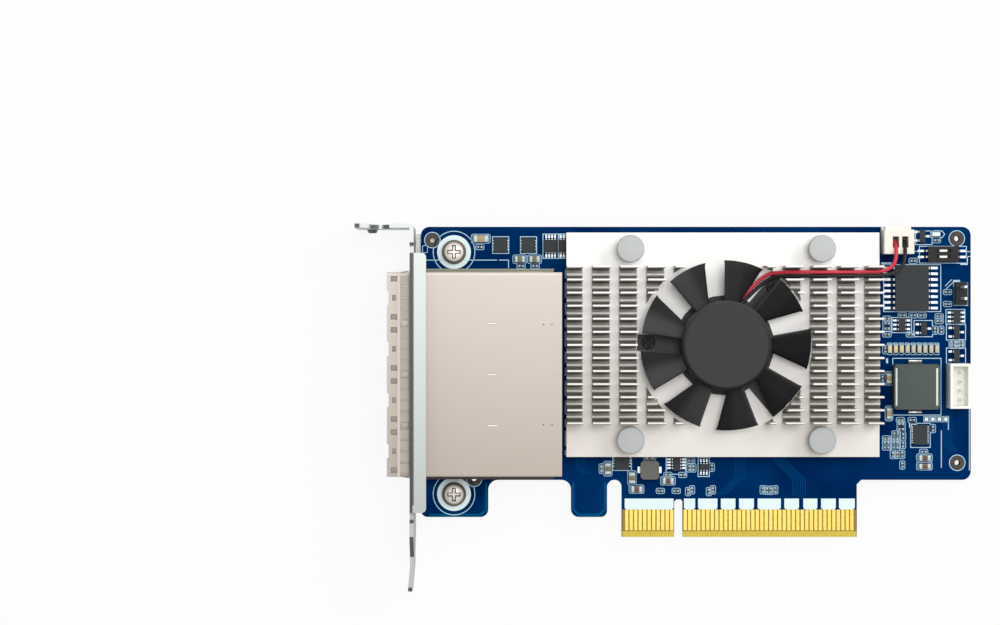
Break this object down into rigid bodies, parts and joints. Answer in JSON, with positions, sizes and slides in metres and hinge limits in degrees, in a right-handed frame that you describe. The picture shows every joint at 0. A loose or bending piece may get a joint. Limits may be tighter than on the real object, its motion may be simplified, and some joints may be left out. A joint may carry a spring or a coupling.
{
  "type": "storage controller card",
  "caption": "Low-profile storage controller card with a folded bracket, a ganged external connector, a finned heat sink with fan, and a card edge.",
  "frame": {"origin": "middle of the key notch at the edge that enters the slot, on the component face", "axes": "+X along the card away from the bracket, +Y away from the slot, +Z out of the component face"},
  "size_m": [0.1362, 0.0805, 0.0184],
  "materials": {
    "solder_mask": "satin",
    "gold": "polished",
    "bracket_steel": "satin",
    "screw_steel": "polished",
    "cage_steel": "satin",
    "black_plastic": "matte",
    "chip_black": "matte",
    "thermal_pad": "matte",
    "sink_aluminium": "satin",
    "grey_plastic": "satin",
    "spring_steel": "satin",
    "dark_metal": "satin",
    "black_steel": "satin",
    "driver_mask": "satin",
    "core_steel": "satin",
    "copper": "satin",
    "brass": "satin",
    "fan_black": "satin",
    "magnet": "matte",
    "red_sleeve": "satin",
    "black_sleeve": "satin",
    "cream_plastic": "satin",
    "tin": "satin",
    "white_plastic": "satin",
    "switch_black": "satin",
    "ferrite": "matte",
    "capacitor_tan": "satin",
    "resistor_black": "satin",
    "led_lens": "satin"
  },
  "bodies": {
    "card": {"circuit_board": "solder_mask", "edge_contacts": "gold", "bracket": "bracket_steel", "bracket_screws": "screw_steel", "cage_cover": "cage_steel", "cage_base": "cage_steel", "cage_dividers": "cage_steel", "spring_fingers": "cage_steel", "receptacle_housings": "black_plastic", "controller_chip": "chip_black", "thermal_pad": "thermal_pad", "heat_sink": "sink_aluminium", "push_pins": "grey_plastic", "push_pin_springs": "spring_steel", "fan_base": "dark_metal", "fan_screws": "black_steel", "fan_driver_board": "driver_mask", "stator_core": "core_steel", "stator_coils": "copper", "fan_bearing": "brass", "red_lead": "red_sleeve", "black_lead": "black_sleeve", "fan_plug": "cream_plastic", "fan_header": "cream_plastic", "fan_header_pins": "tin", "serial_header": "white_plastic", "serial_pins": "gold", "jumper_header": "black_plastic", "jumper_pins": "tin", "dip_switch": "switch_black", "dip_leads": "tin", "wide_chip": "chip_black", "wide_chip_leads": "tin", "small_chips": "chip_black", "small_chip_leads": "tin", "leadless_chips": "chip_black", "transistors": "chip_black", "transistor_leads": "tin", "large_inductor": "ferrite", "large_inductor_terminals": "tin", "small_inductor": "ferrite", "small_inductor_terminals": "tin", "ceramic_capacitors": "capacitor_tan", "chip_resistors": "resistor_black", "status_led": "led_lens"},
    "rotor": {"fan_rotor": "fan_black", "rotor_magnet": "magnet", "rotor_shaft": "spring_steel", "shaft_clip": "black_plastic"},
    "slider_1": {"dip_slider_1": "white_plastic"},
    "slider_2": {"dip_slider_2": "white_plastic"}
  },
  "joints": [
    {"name": "fan_spin", "type": "hinge", "parent": "card", "child": "rotor", "pos_m": [0.00975, 0.04265, 0.008], "axis": [0, 0, 1], "continuous": true},
    {"name": "slider_1_slide", "type": "slide", "parent": "card", "child": "slider_1", "axis": [1, 0, 0], "range_m": [-0.0005, 0.0007]},
    {"name": "slider_2_slide", "type": "slide", "parent": "card", "child": "slider_2", "axis": [1, 0, 0], "range_m": [-0.0005, 0.0007]}
  ]
}
